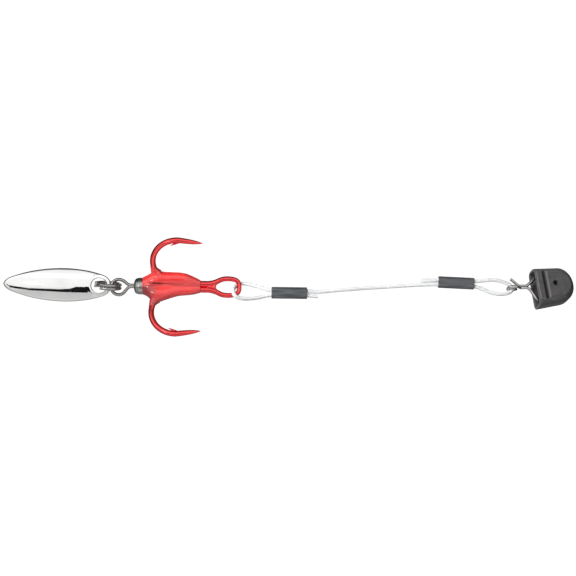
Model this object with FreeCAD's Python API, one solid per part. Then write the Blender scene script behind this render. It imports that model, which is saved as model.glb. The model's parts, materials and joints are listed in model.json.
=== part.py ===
import FreeCAD, Part
import math
import os

# Bladed treble stinger rig, hanging from the hole in its rubber cap. Millimetres.
# Origin: middle of the cap's hole. +Z up, so the rig hangs towards -Z. +Y points away from
# the side that shows the flat of the spinner blade, and +X completes the frame.

V = FreeCAD.Vector
FLAT = 0.01

# Cap and clip. Their own frame is +Z along the cap towards its crown, +Y along the hole.
CAP_LEAN = 3.0
CAP_PITCH = 12.6
CAP_ROLL = 20.0
CAP_MOUTH_Z = -3.85
CAP_SIDE_TOP_Z = 1.2
CAP_CROWN_Z = 4.17
CROWN_PULL = 0.552
CAP_MOUTH_SIDES = (-3.6, 4.45)
CAP_TOP_SIDES = (-3.5, 3.78)
CAP_HALF_DEPTH = 1.9
CAP_EDGE_RADIUS = 1.1
CAP_WALL = 0.5
PANEL_RAISE = 0.2
PANEL_EDGE_RADIUS = 0.18
PANEL_INSET = 0.95
PANEL_START_Z = -2.0
HOOK_HOLE_RADIUS = 0.5
POST_RADIUS = 1.05

# Clip wire in the cap's frame: the places where it bends, each with its bend radius
CLIP_WIRE_RADIUS = 0.3
CLIP_SHAFT_X = -0.05
CLIP_TAIL = [
    (V(-2.22, 0.45, -8.36), None),
    (V(-0.62, 0.45, -6.85), 0.8),
    (V(-0.52, 0.45, -5.25), 0.9),
    (V(-2.35, 0, -2.7), 1.0),
]
CLIP_BOW_RADIUS = 1.65
CLIP_BOW_STEP = 65.0
CLIP_SHAFT = [
    (V(2.75, 0, -3.6), 0.75),
    (V(CLIP_SHAFT_X, 0, -5.05), 1.2),
    (V(CLIP_SHAFT_X, 0, -6.85), 0.5),
]
CLIP_EYE_RADIUS = 1.05
CLIP_EYE_Z = -8.36
CLIP_EYE_STEP = 60.0
CLIP_EYE_CORNERS = 5
CLIP_EYE_END = 330.0

# Leader
LINE_RADIUS = 0.41
SLEEVE_HALF_HEIGHT = 1.18
SLEEVE_HALF_WIDTH = 0.74
CHANNEL_OFFSET = 0.43
CHANNEL_RADIUS = 0.45
SLEEVE_END_RADIUS = 0.12

# Everything below the leader hangs on one line, which leans a little about the treble's eye.
CHAIN_Y = -1.8
TREBLE_EYE = V(0.15, CHAIN_Y, -64.46)
HANG_TILT = 0.7

# Treble
HOOK_WIRE_RADIUS = 0.53
EYE_RADIUS = 1.63
NECK_Z = -68.2
NECK_BEND_RADIUS = 2.2
SHANK_OFFSET = 0.54
THIRD_SHANK_OFFSET = 0.95
THIRD_SHANK_TOP_Z = -71.6
BEND_RADIUS = 5.05
BEND_ANGLE = 188.0
POINT_STRAIGHT = 0.3
POINT_LENGTH = 4.1
POINT_TIP_RADIUS = 0.04
POINT_FLANK = (0.68, 0.55)
BARB_RISE = 0.52
BARB_BACK = 1.15
BARB_FRONT = 1.5
BARB_ROOT = 0.27
BARB_HALF_THICKNESS = 0.2

# Each hook: where its shank stands, the way that it opens in degrees, and where its bend starts
LEFT_HOOK = (V(-SHANK_OFFSET, 0, 0), -58.8, -75.09)
RIGHT_HOOK = (V(SHANK_OFFSET, 0, 0), 61.2, -75.31)
BACK_HOOK = (V(0, THIRD_SHANK_OFFSET, 0), 181.2, -74.95)

# Resin body: height, radius over a hook and radius in the valley between two hooks
BODY_STATIONS = [
    (-82.17, 1.95, 1.85),
    (-81.3, 2.45, 1.95),
    (-80.3, 3.2, 1.9),
    (-79.2, 3.4, 1.8),
    (-77.6, 3.0, 1.65),
    (-75.6, 2.65, 1.6),
    (-74.0, 2.3, 1.55),
    (-72.4, 1.75, 1.35),
    (-70.76, 1.2, 1.15),
]
LOBE_COUNT = 3
LOBE_POINTS = 18

# Swivel
BARREL_RADIUS = 1.7
BARREL_TAIL_Z = -83.97
BARREL_HEAD_Z = -79.4
BARREL_EDGE = 0.45
BARREL_CHAMFER = 0.14
BARREL_CAVITY_RADIUS = 1.2
BARREL_CAVITY_TAIL_Z = -83.15
BARREL_CAVITY_HEAD_Z = -80.1
BARREL_GROOVE_Z = -83.2
BARREL_GROOVE_WIDTH = 0.2
BARREL_GROOVE_DEPTH = 0.12
PIN_RADIUS = 0.42
PIN_CLEARANCE = 0.05
PIN_HEAD_RADIUS = 0.95
PIN_HEAD_THICKNESS = 0.5
PIN_HEAD_GAP = 0.1
ANCHOR_FOOT_Z = -78.3
ANCHOR_FOOT_RADIUS = 0.7
ANCHOR_CLEARANCE = 0.01
SWIVEL_EYE_Z = -86.99
SWIVEL_EYE_RADIUS = 1.53
SWIVEL_EYE_DROP = 0.2
SWIVEL_WIRE_RADIUS = 0.34
COLLAR_RADIUS = 0.72
COLLAR_LENGTH = 0.5

# Split ring, standing across the blade and leaning a little. Its turns are in degrees from its top
# round by the far side, and between two of them it jogs across to its second flat turn.
RING_Z = -89.18
RING_RADIUS = 2.5
RING_WIRE_RADIUS = 0.31
RING_HALF_GAP = 0.34
RING_START = 240
RING_JOG = (528, 600)
RING_END = 888
RING_STEP = 36
RING_YAW = 7.0
RING_TILT = 4.0

# Blade: outline as distance from its tail tip and half width
BLADE_TAIL_Z = -110.38
BLADE_HEAD_Z = -88.57
BLADE_THICKNESS = 0.45
BLADE_HOLE_Z = -91.07
BLADE_HOLE_RADIUS = 1.48
BLADE_BACK = 0.7
BLADE_CROSS_RADIUS = 6.7
BLADE_LENGTH_RADIUS = 46.0
BLADE_DISH = 3.0
BLADE_TILT = 0.5
BLADE_SIDE = [
    (0.8, 1.05),
    (2.6, 1.8),
    (5.6, 2.65),
    (9.0, 3.2),
    (12.6, 3.38),
    (16.0, 3.12),
    (18.8, 2.55),
    (20.9, 1.7),
]

# Leader route, from the treble loop's cut end to the clip loop's cut end
LEADER_ROUTE = [
    V(2.0, -1.8, -47.15),
    V(1.79, -1.8, -49.35),
    V(1.75, -1.8, -53.1),
    V(1.69, -1.82, -56.9),
    V(2.12, -1.95, -58.5),
    V(2.44, -2.2, -60.4),
    V(2.47, -2.75, -62.46),
    V(2.02, -3.0, -63.71),
    V(0.97, -2.65, -64.11),
    V(0.22, -1.05, -64.01),
    V(-0.73, -0.65, -62.71),
    V(-0.36, -1.1, -60.55),
    V(0.24, -1.6, -58.5),
    V(0.83, -1.8, -56.9),
    V(0.875, -1.8, -53.1),
    V(0.935, -1.8, -49.35),
    V(1.14, -1.8, -47.1),
    V(0.74, -1.8, -43.2),
    V(0.36, -1.8, -38.14),
    V(0.02, -1.8, -32.74),
    V(-0.3, -1.8, -27.74),
    V(-0.45, -1.8, -23.3),
    V(-0.26, -1.8, -19.5),
    V(-0.08, -1.8, -15.8),
    V(0.5, -1.9, -14.3),
    V(1.3, -2.15, -12.6),
    V(1.64, -2.45, -10.63),
    V(1.12, -2.12, -8.33),
    V(-0.16, -1.63, -8.33),
    V(-1.10, -1.72, -10.53),
    V(-1.34, -1.75, -12.4),
    V(-1.16, -1.8, -14.2),
    V(-0.94, -1.8, -15.8),
    V(-1.13, -1.8, -19.5),
    V(-1.31, -1.8, -23.3),
    V(-1.08, -1.8, -26.6),
]
HOOK_SLEEVE_ENDS = (V(1.26, CHAIN_Y, -56.45), V(1.36, CHAIN_Y, -49.35))
CLIP_SLEEVE_ENDS = (V(-0.88, CHAIN_Y, -23.1), V(-0.52, CHAIN_Y, -15.91))


def rounded_path(points, share=0.49, radii=None):
    """Straight runs joined by tangent arcs. Each arc takes a share of the shorter run beside it."""
    radii = radii or {}
    edges = []
    start = points[0]
    for i in range(1, len(points) - 1):
        before, corner, after = points[i - 1 : i + 2]
        heading_in = (corner - before).normalize()
        heading_out = (after - corner).normalize()
        half_turn = heading_in.getAngle(heading_out) / 2
        tangent = share * min((corner - before).Length, (after - corner).Length)
        radius = radii.get(i, tangent / math.tan(half_turn))
        tangent = radius * math.tan(half_turn)
        inward = (heading_out - heading_in).normalize()
        first = corner - heading_in * tangent
        last = corner + heading_out * tangent
        middle = corner + inward * (radius / math.cos(half_turn) - radius)
        edges.append(Part.LineSegment(start, first).toShape())
        edges.append(Part.Arc(first, middle, last).toShape())
        start = last
    edges.append(Part.LineSegment(start, points[-1]).toShape())
    return Part.Wire(edges)


def round_wire(path, radius):
    """A solid wire of round section along a path."""
    first = path.Edges[0]
    start = first.valueAt(first.FirstParameter)
    heading = first.tangentAt(first.FirstParameter)
    profile = Part.Wire(Part.makeCircle(radius, start, heading))
    return path.makePipeShell([profile], True, False)


def revolved(outline):
    """A solid turned about the Z axis from a closed outline of (radius, height) corners."""
    corners = [V(r, 0, z) for r, z in outline]
    face = Part.Face(Part.makePolygon(corners + corners[:1]))
    return face.revolve(V(0, 0, 0), V(0, 0, 1), 360)


def in_cap_frame(shape):
    """Turn a shape from the cap's own frame into the rig's frame."""
    turn = FreeCAD.Rotation(V(0, 1, 0), -CAP_LEAN)
    turn = turn.multiply(FreeCAD.Rotation(V(1, 0, 0), -CAP_PITCH))
    turn = turn.multiply(FreeCAD.Rotation(V(0, 0, 1), -CAP_ROLL))
    moved = shape.copy()
    moved.Placement = FreeCAD.Placement(V(0, 0, 0), turn).multiply(moved.Placement)
    return moved


def hung(shape):
    """Move a shape from the treble's own axis to where the leaning chain hangs."""
    moved = shape.copy()
    moved.translate(V(TREBLE_EYE.x, CHAIN_Y, 0))
    moved.rotate(TREBLE_EYE, V(0, 1, 0), HANG_TILT)
    return moved


def crown_quarter(side, heading, top):
    """A quarter of the crown: it leaves a side along its heading and is level at the top."""
    lift = heading * (CROWN_PULL * (top.z - side.z) / heading.z)
    level = V(CROWN_PULL * (top.x - side.x), 0, 0)
    curve = Part.BezierCurve()
    curve.setPoles([side, side + lift, top - level, top])
    return curve.toShape()


def cap_profile(inset, bottom_z):
    """The cap's long section drawn in by an inset: flaring sides run smoothly into the crown."""
    share = (CAP_SIDE_TOP_Z - bottom_z) / (CAP_SIDE_TOP_Z - CAP_MOUTH_Z)
    left_x = CAP_TOP_SIDES[0] + inset
    right_x = CAP_TOP_SIDES[1] - inset
    low_left_x = left_x + share * (CAP_MOUTH_SIDES[0] - CAP_TOP_SIDES[0])
    low_right_x = right_x + share * (CAP_MOUTH_SIDES[1] - CAP_TOP_SIDES[1])
    left = V(left_x, 0, CAP_SIDE_TOP_Z)
    right = V(right_x, 0, CAP_SIDE_TOP_Z)
    top = V((left_x + right_x) / 2, 0, CAP_CROWN_Z - inset)
    low_right = V(low_right_x, 0, bottom_z)
    low_left = V(low_left_x, 0, bottom_z)
    edges = [
        Part.LineSegment(low_right, right).toShape(),
        crown_quarter(right, right - low_right, top),
        crown_quarter(left, left - low_left, top),
        Part.LineSegment(left, low_left).toShape(),
        Part.LineSegment(low_left, low_right).toShape(),
    ]
    return Part.Face(Part.Wire(edges))


def cap_slab(inset, bottom_z, half_depth, edge_radius, round_bottom):
    """The cap's profile given a thickness, with its long edges rounded."""
    profile = cap_profile(inset, bottom_z)
    profile.translate(V(0, -half_depth, 0))
    slab = profile.extrude(V(0, 2 * half_depth, 0))
    rims = []
    for edge in slab.Edges:
        box = edge.BoundBox
        on_face = box.YLength < FLAT
        at_bottom = box.ZMax < bottom_z + FLAT
        if on_face and (round_bottom or not at_bottom):
            rims.append(edge)
    return slab.makeFillet(edge_radius, rims)


def rubber_cap():
    """Hollow cap with a raised panel on both sides and a post round the through-hole."""
    body = cap_slab(0, CAP_MOUTH_Z, CAP_HALF_DEPTH, CAP_EDGE_RADIUS, False)
    panel = cap_slab(PANEL_INSET, PANEL_START_Z, CAP_HALF_DEPTH + PANEL_RAISE, PANEL_EDGE_RADIUS, True)
    inside = CAP_HALF_DEPTH - CAP_WALL
    cavity = cap_slab(CAP_WALL, CAP_MOUTH_Z, inside, CAP_EDGE_RADIUS - CAP_WALL, False)
    reach = 2 * CAP_HALF_DEPTH
    post = Part.makeCylinder(POST_RADIUS, 2 * inside, V(0, -inside, 0), V(0, 1, 0))
    hole = Part.makeCylinder(HOOK_HOLE_RADIUS, 2 * reach, V(0, -reach, 0), V(0, 1, 0))
    return in_cap_frame(body.fuse(panel).cut(cavity).fuse(post).cut(hole).removeSplitter())


def clip_wire():
    """One wire: free tail, leg, bow round the cap's post, second leg, shaft and line eye."""
    corners = list(CLIP_TAIL)
    bow = CLIP_BOW_RADIUS / math.cos(math.radians(CLIP_BOW_STEP / 2))
    for side in (-1, 0, 1):
        turn = math.radians(side * CLIP_BOW_STEP)
        corners.append((V(bow * math.sin(turn), 0, bow * math.cos(turn)), None))
    corners += CLIP_SHAFT
    eye = CLIP_EYE_RADIUS / math.cos(math.radians(CLIP_EYE_STEP / 2))
    for step in range(1, CLIP_EYE_CORNERS + 1):
        corners.append((clip_eye_point(eye, step * CLIP_EYE_STEP), None))
    corners.append((clip_eye_point(CLIP_EYE_RADIUS, CLIP_EYE_END), None))
    radii = {i: bend for i, (_, bend) in enumerate(corners) if bend}
    path = rounded_path([point for point, _ in corners], radii=radii)
    return in_cap_frame(round_wire(path, CLIP_WIRE_RADIUS))


def clip_eye_point(radius, angle):
    """A point round the clip's line eye, at an angle from its shaft."""
    turn = math.radians(angle)
    return V(CLIP_SHAFT_X, -radius * math.sin(turn), CLIP_EYE_Z + radius * math.cos(turn))


def leader_line():
    """The whole line: it doubles back at both ends, and its cut ends stick out of the sleeves."""
    path = rounded_path(LEADER_ROUTE, share=0.45)
    line = round_wire(path, LINE_RADIUS)
    arcs = [edge.Curve.Radius for edge in path.Edges if edge.Curve.TypeId == "Part::GeomCircle"]
    print("leader length", round(path.Length, 2), "smallest radius", round(min(arcs), 2))
    section = math.pi * LINE_RADIUS**2
    print("leader volume over section times length", round(line.Volume / (section * path.Length), 4))
    return line


def crimp_sleeve(ends):
    """Double-barrel sleeve: an oblong tube with two channels side by side."""
    low, high = ends
    length = (high - low).Length
    lobes = SLEEVE_HALF_HEIGHT - SLEEVE_HALF_WIDTH
    sleeve = Part.makeBox(2 * lobes, 2 * SLEEVE_HALF_WIDTH, length, V(-lobes, -SLEEVE_HALF_WIDTH, 0))
    for side in (-1, 1):
        sleeve = sleeve.fuse(Part.makeCylinder(SLEEVE_HALF_WIDTH, length, V(side * lobes, 0, 0)))
    sleeve = sleeve.removeSplitter()
    rims = [edge for edge in sleeve.Edges if edge.BoundBox.ZLength < FLAT]
    sleeve = sleeve.makeFillet(SLEEVE_END_RADIUS, rims)
    for side in (-1, 1):
        sleeve = sleeve.cut(Part.makeCylinder(CHANNEL_RADIUS, length, V(side * CHANNEL_OFFSET, 0, 0)))
    sleeve.Placement = FreeCAD.Placement(low, FreeCAD.Rotation(V(0, 0, 1), high - low))
    return sleeve


def in_hook_plane(along, height, shank, spread):
    """A point in a hook's plane: along is the distance outwards from its own shank."""
    turn = math.radians(spread)
    return V(shank.x + along * math.sin(turn), shank.y - along * math.cos(turn), height)


def hook_bend(hook):
    """Edges of one bend from the shank round to the straight before the point, and that end's heading."""
    shank, spread, bend_z = hook
    ends = []
    for angle in (0, BEND_ANGLE / 2, BEND_ANGLE):
        turn = math.radians(angle)
        along = BEND_RADIUS * (1 - math.cos(turn))
        ends.append(in_hook_plane(along, bend_z - BEND_RADIUS * math.sin(turn), shank, spread))
    lean = math.radians(BEND_ANGLE - 180)
    ahead = in_hook_plane(-math.sin(lean), math.cos(lean), V(0, 0, 0), spread)
    base = ends[2] + ahead * POINT_STRAIGHT
    edges = [Part.Arc(*ends).toShape(), Part.LineSegment(ends[2], base).toShape()]
    return edges, base, ahead


def hook_point(base, ahead):
    """The ground point: a turned ogive from the wire's full radius to a fine tip."""
    corners = [V(0, 0, 0), V(HOOK_WIRE_RADIUS, 0, 0)]
    flank = V(POINT_FLANK[0] * HOOK_WIRE_RADIUS, 0, POINT_FLANK[1] * POINT_LENGTH)
    tip = V(POINT_TIP_RADIUS, 0, POINT_LENGTH)
    top = V(0, 0, POINT_LENGTH)
    edges = [
        Part.LineSegment(corners[0], corners[1]).toShape(),
        Part.Arc(corners[1], flank, tip).toShape(),
        Part.LineSegment(tip, top).toShape(),
        Part.LineSegment(top, corners[0]).toShape(),
    ]
    point = Part.Face(Part.Wire(edges)).revolve(V(0, 0, 0), V(0, 0, 1), 360)
    point.Placement = FreeCAD.Placement(base, FreeCAD.Rotation(V(0, 0, 1), ahead))
    return point


def barb(hook):
    """A thin sliver raised from the inner side of the wire, pointing back into the bend."""
    shank, spread, bend_z = hook
    inside = 2 * BEND_RADIUS - HOOK_WIRE_RADIUS
    corners = [
        in_hook_plane(inside - BARB_RISE, bend_z - BARB_BACK, shank, spread),
        in_hook_plane(inside, bend_z + BARB_FRONT, shank, spread),
        in_hook_plane(inside + BARB_ROOT, bend_z + BARB_FRONT, shank, spread),
        in_hook_plane(inside + BARB_ROOT, bend_z, shank, spread),
    ]
    turn = math.radians(spread)
    across = V(math.cos(turn), math.sin(turn), 0) * BARB_HALF_THICKNESS
    face = Part.Face(Part.makePolygon(corners + corners[:1]))
    face.translate(across * -1)
    return face.extrude(across * 2)


def eye_side(side, bend_z):
    """One side of the double hook's wire: up its shank, out at the neck and on to the eye's arc."""
    neck = V(-SHANK_OFFSET, 0, NECK_Z)
    reach = V(0, 0, TREBLE_EYE.z) - neck
    lean = math.asin(EYE_RADIUS / reach.Length) - math.atan2(reach.x, reach.z)
    touch_x = side * EYE_RADIUS * math.cos(lean)
    touch = V(touch_x, 0, TREBLE_EYE.z - EYE_RADIUS * math.sin(lean))
    shank_x = side * SHANK_OFFSET
    corners = [V(shank_x, 0, bend_z), V(shank_x, 0, NECK_Z), touch]
    return rounded_path(corners, radii={1: NECK_BEND_RADIUS}), touch


def double_hook():
    """Two hooks and the line eye, bent from one wire."""
    left_side, left_touch = eye_side(-1, LEFT_HOOK[2])
    right_side, right_touch = eye_side(1, RIGHT_HOOK[2])
    top = V(0, 0, TREBLE_EYE.z + EYE_RADIUS)
    edges = left_side.Edges + [Part.Arc(left_touch, top, right_touch).toShape()] + right_side.Edges
    points = []
    for hook in (LEFT_HOOK, RIGHT_HOOK):
        bend, base, ahead = hook_bend(hook)
        edges += bend
        points += [hook_point(base, ahead), barb(hook)]
    wire = round_wire(Part.Wire(Part.__sortEdges__(edges)), HOOK_WIRE_RADIUS)
    return wire.multiFuse(points)


def third_hook():
    """The single hook that lies in the groove between the other two shanks."""
    shank, _, bend_z = BACK_HOOK
    bend, base, ahead = hook_bend(BACK_HOOK)
    top = V(shank.x, shank.y, THIRD_SHANK_TOP_Z)
    straight = Part.LineSegment(top, V(shank.x, shank.y, bend_z)).toShape()
    hook = round_wire(Part.Wire([straight] + bend), HOOK_WIRE_RADIUS)
    return hook.multiFuse([hook_point(base, ahead), barb(BACK_HOOK)])


def swivel_eye():
    """Wire eye with a collar and a headed stem that turns in the barrel."""
    middle = V(SWIVEL_EYE_DROP, 0, SWIVEL_EYE_Z)
    eye = Part.makeTorus(SWIVEL_EYE_RADIUS, SWIVEL_WIRE_RADIUS, middle, V(0, 1, 0))
    collar_z = SWIVEL_EYE_Z + SWIVEL_EYE_RADIUS
    collar = Part.makeCone(COLLAR_RADIUS, PIN_RADIUS, COLLAR_LENGTH, V(0, 0, collar_z))
    head_z = BARREL_CAVITY_TAIL_Z + PIN_HEAD_GAP
    stem = Part.makeCylinder(PIN_RADIUS, head_z - collar_z, V(0, 0, collar_z))
    head = Part.makeCylinder(PIN_HEAD_RADIUS, PIN_HEAD_THICKNESS, V(0, 0, head_z))
    return eye.multiFuse([collar, stem, head])


def swivel_barrel():
    """Hollow barrel with a hole for a pin at each end."""
    hole = PIN_RADIUS + PIN_CLEARANCE
    anchor_hole = PIN_RADIUS + ANCHOR_CLEARANCE
    groove = BARREL_RADIUS - BARREL_GROOVE_DEPTH
    groove_top = BARREL_GROOVE_Z + BARREL_GROOVE_WIDTH
    return revolved([
        (hole, BARREL_TAIL_Z),
        (BARREL_RADIUS - BARREL_EDGE, BARREL_TAIL_Z),
        (BARREL_RADIUS - BARREL_CHAMFER, BARREL_TAIL_Z + BARREL_CHAMFER),
        (BARREL_RADIUS, BARREL_TAIL_Z + BARREL_EDGE),
        (BARREL_RADIUS, BARREL_GROOVE_Z),
        (groove, BARREL_GROOVE_Z),
        (groove, groove_top),
        (BARREL_RADIUS, groove_top),
        (BARREL_RADIUS, BARREL_HEAD_Z),
        (anchor_hole, BARREL_HEAD_Z),
        (anchor_hole, BARREL_CAVITY_HEAD_Z),
        (BARREL_CAVITY_RADIUS, BARREL_CAVITY_HEAD_Z),
        (BARREL_CAVITY_RADIUS, BARREL_CAVITY_TAIL_Z),
        (hole, BARREL_CAVITY_TAIL_Z),
    ])


def swivel_anchor():
    """Headed pin that holds the barrel in the resin."""
    head_z = BARREL_CAVITY_HEAD_Z - PIN_HEAD_GAP - PIN_HEAD_THICKNESS
    head = Part.makeCylinder(PIN_HEAD_RADIUS, PIN_HEAD_THICKNESS, V(0, 0, head_z))
    stem = Part.makeCylinder(PIN_RADIUS, ANCHOR_FOOT_Z - head_z, V(0, 0, head_z))
    foot_z = ANCHOR_FOOT_Z - PIN_HEAD_THICKNESS
    foot = Part.makeCylinder(ANCHOR_FOOT_RADIUS, PIN_HEAD_THICKNESS, V(0, 0, foot_z))
    return head.multiFuse([stem, foot])


def lobed_wire(height, lobe, valley):
    """A closed curve round the shanks that swells over each of the three hooks."""
    points = []
    for i in range(LOBE_POINTS):
        angle = 2 * math.pi * i / LOBE_POINTS
        swell = (1 + math.cos(LOBE_COUNT * (angle - math.pi / 2))) / 2
        radius = valley + (lobe - valley) * swell
        points.append(V(radius * math.cos(angle), radius * math.sin(angle), height))
    curve = Part.BSplineCurve()
    curve.interpolate(points, PeriodicFlag=True)
    return Part.Wire(curve.toShape())


def hook_body(inserts):
    """Resin moulded round the shanks, the roots of the bends and the head of the barrel."""
    body = Part.makeLoft([lobed_wire(*station) for station in BODY_STATIONS], True, False)
    barrel = Part.makeCylinder(BARREL_RADIUS, BARREL_HEAD_Z - BARREL_TAIL_Z, V(0, 0, BARREL_TAIL_Z))
    return body.cut(barrel).cut(inserts)


def split_ring():
    """Close-wound ring of nearly two flat turns, with a jog from one to the other."""
    points = []
    corner = RING_RADIUS / math.cos(math.radians(RING_STEP / 2))
    jog_start, jog_end = RING_JOG
    for turn in range(RING_START, RING_END + 1, RING_STEP):
        crossed = min(max((turn - jog_start) / (jog_end - jog_start), 0), 1)
        angle = math.radians(turn)
        across = RING_HALF_GAP * (1 - 2 * crossed)
        points.append(V(across, corner * math.sin(angle), RING_Z + corner * math.cos(angle)))
    ring = round_wire(rounded_path(points), RING_WIRE_RADIUS)
    ring.rotate(V(0, 0, RING_Z), V(0, 0, 1), RING_YAW)
    ring.rotate(V(0, 0, RING_Z), V(0, 1, 0), RING_TILT)
    return ring


def spinner_blade():
    """Willow-leaf blade: its outline cut from a doubly curved shell, with a hole near the head."""
    tail = V(0, 0, BLADE_TAIL_Z)
    head = V(0, 0, BLADE_HEAD_Z)
    left = [V(-half, 0, BLADE_TAIL_Z + run) for run, half in BLADE_SIDE]
    right = [V(half, 0, BLADE_TAIL_Z + run) for run, half in BLADE_SIDE]
    curve = Part.BSplineCurve()
    curve.interpolate([tail] + left + [head] + right[::-1], PeriodicFlag=True)
    outline = Part.Face(Part.Wire(curve.toShape()))
    middle_z = (BLADE_TAIL_Z + BLADE_HEAD_Z) / 2
    sagitta = (BLADE_HOLE_Z - middle_z) ** 2 / (2 * BLADE_LENGTH_RADIUS)
    crown_y = BLADE_BACK - sagitta
    outline.translate(V(0, crown_y - BLADE_THICKNESS, 0))
    prism = outline.extrude(V(0, BLADE_THICKNESS + BLADE_DISH, 0))
    centre = V(0, crown_y + BLADE_LENGTH_RADIUS, middle_z)
    ring = BLADE_LENGTH_RADIUS - BLADE_CROSS_RADIUS
    half = BLADE_THICKNESS / 2
    shell = Part.makeTorus(ring, BLADE_CROSS_RADIUS + half, centre, V(1, 0, 0))
    shell = shell.cut(Part.makeTorus(ring, BLADE_CROSS_RADIUS - half, centre, V(1, 0, 0)))
    hole_start = V(0, crown_y - BLADE_THICKNESS, BLADE_HOLE_Z)
    hole = Part.makeCylinder(BLADE_HOLE_RADIUS, BLADE_THICKNESS + BLADE_DISH, hole_start, V(0, 1, 0))
    blade = shell.common(prism).cut(hole)
    blade.rotate(V(0, 0, BLADE_HOLE_Z), V(0, 1, 0), BLADE_TILT)
    return blade


def build():
    hooks = double_hook()
    third = third_hook()
    anchor = swivel_anchor()
    nodes = {
        "rubber_cap": rubber_cap(),
        "clip_wire": clip_wire(),
        "leader_line": leader_line(),
        "hook_sleeve": crimp_sleeve(HOOK_SLEEVE_ENDS),
        "clip_sleeve": crimp_sleeve(CLIP_SLEEVE_ENDS),
        "double_hook": hung(hooks),
        "third_hook": hung(third),
        "hook_body": hung(hook_body([hooks, third, anchor])),
        "swivel_barrel": hung(swivel_barrel()),
        "swivel_anchor": hung(anchor),
        "swivel_eye": hung(swivel_eye()),
        "split_ring": hung(split_ring()),
        "spinner_blade": hung(spinner_blade()),
    }
    os.makedirs("parts", exist_ok=True)
    for name, shape in nodes.items():
        print(name, "solids", len(shape.Solids), "valid", shape.isValid(), "mm3", round(shape.Volume, 3))
        shape.exportStep("parts/" + name + ".step")


build()
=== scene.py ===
"""Bladed treble stinger rig, lying across the frame: blade, swivel, red treble, leader, clip and cap.

The pieces are shaped in millimetres in two local frames, the cap's and the hanging chain's, and a
frame's matrix takes them into the row frame, in metres.
"""

import json
import math

import bmesh
import bpy
from mathutils import Matrix, Vector


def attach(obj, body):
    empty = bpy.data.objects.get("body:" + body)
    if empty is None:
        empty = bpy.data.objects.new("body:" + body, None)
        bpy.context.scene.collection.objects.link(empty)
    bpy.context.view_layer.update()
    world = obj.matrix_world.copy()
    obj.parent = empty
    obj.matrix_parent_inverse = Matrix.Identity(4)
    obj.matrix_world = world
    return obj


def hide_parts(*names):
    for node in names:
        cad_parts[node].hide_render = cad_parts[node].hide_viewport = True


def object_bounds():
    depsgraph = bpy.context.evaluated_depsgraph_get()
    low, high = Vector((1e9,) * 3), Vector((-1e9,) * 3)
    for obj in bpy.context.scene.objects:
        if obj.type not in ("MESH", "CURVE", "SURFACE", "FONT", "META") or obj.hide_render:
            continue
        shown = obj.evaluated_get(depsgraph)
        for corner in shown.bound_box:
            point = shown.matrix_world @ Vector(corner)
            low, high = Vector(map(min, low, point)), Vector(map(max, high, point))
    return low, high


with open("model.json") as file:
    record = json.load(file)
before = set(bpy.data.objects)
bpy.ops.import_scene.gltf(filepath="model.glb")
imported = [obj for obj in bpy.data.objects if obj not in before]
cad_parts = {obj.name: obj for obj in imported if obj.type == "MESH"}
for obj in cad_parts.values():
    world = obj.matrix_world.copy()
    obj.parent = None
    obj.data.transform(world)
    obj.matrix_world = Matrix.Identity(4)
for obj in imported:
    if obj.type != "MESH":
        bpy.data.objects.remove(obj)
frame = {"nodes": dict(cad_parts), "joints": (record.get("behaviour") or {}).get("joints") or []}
cad_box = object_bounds()
joint_places = {joint["name"]: Vector(joint["pos_m"]) for joint in frame["joints"]}

# ---------------------------------------------------------------- frames

MM = 0.001
TREBLE_EYE = joint_places["treble_swing"] / MM
HANG_TILT = math.radians(0.7)
CAP_LEAN = math.radians(-3.0)
CAP_PITCH = math.radians(-12.6)
CAP_ROLL = math.radians(-20.0)
BLADE_HOLE_Z = -91.07
BLADE_TILT = math.radians(0.5)

RIG = Matrix.Scale(MM, 4)
CAP = (
    RIG
    @ Matrix.Rotation(CAP_LEAN, 4, "Y")
    @ Matrix.Rotation(CAP_PITCH, 4, "X")
    @ Matrix.Rotation(CAP_ROLL, 4, "Z")
)
CHAIN = (
    RIG
    @ Matrix.Translation(TREBLE_EYE)
    @ Matrix.Rotation(HANG_TILT, 4, "Y")
    @ Matrix.Translation((0, 0, -TREBLE_EYE.z))
)

BLADE = (
    CHAIN
    @ Matrix.Translation((0, 0, BLADE_HOLE_Z))
    @ Matrix.Rotation(BLADE_TILT, 4, "Y")
    @ Matrix.Translation((0, 0, -BLADE_HOLE_Z))
)

# ---------------------------------------------------------------- dimensions, in millimetres

LINE_DIAMETER = 0.82
LINE_ROUNDNESS = 20
LEADER_ROUTE = [
    (2.0, -1.8, -47.15),
    (1.79, -1.8, -49.35),
    (1.75, -1.8, -53.1),
    (1.69, -1.82, -56.9),
    (2.12, -1.95, -58.5),
    (2.44, -2.2, -60.4),
    (2.47, -2.75, -62.46),
    (2.02, -3.0, -63.71),
    (0.97, -2.65, -64.11),
    (0.22, -1.05, -64.01),
    (-0.73, -0.65, -62.71),
    (-0.36, -1.1, -60.55),
    (0.24, -1.6, -58.5),
    (0.83, -1.8, -56.9),
    (0.875, -1.8, -53.1),
    (0.935, -1.8, -49.35),
    (1.14, -1.8, -47.1),
    (0.74, -1.8, -43.2),
    (0.36, -1.8, -38.14),
    (0.02, -1.8, -32.74),
    (-0.3, -1.8, -27.74),
    (-0.45, -1.8, -23.3),
    (-0.26, -1.8, -19.5),
    (-0.08, -1.8, -15.8),
    (0.5, -1.9, -14.3),
    (1.3, -2.15, -12.6),
    (1.64, -2.45, -10.63),
    (1.12, -2.12, -8.33),
    (-0.16, -1.63, -8.33),
    (-1.10, -1.72, -10.53),
    (-1.34, -1.75, -12.4),
    (-1.16, -1.8, -14.2),
    (-0.94, -1.8, -15.8),
    (-1.13, -1.8, -19.5),
    (-1.31, -1.8, -23.3),
    (-1.08, -1.8, -26.6),
]

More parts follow.
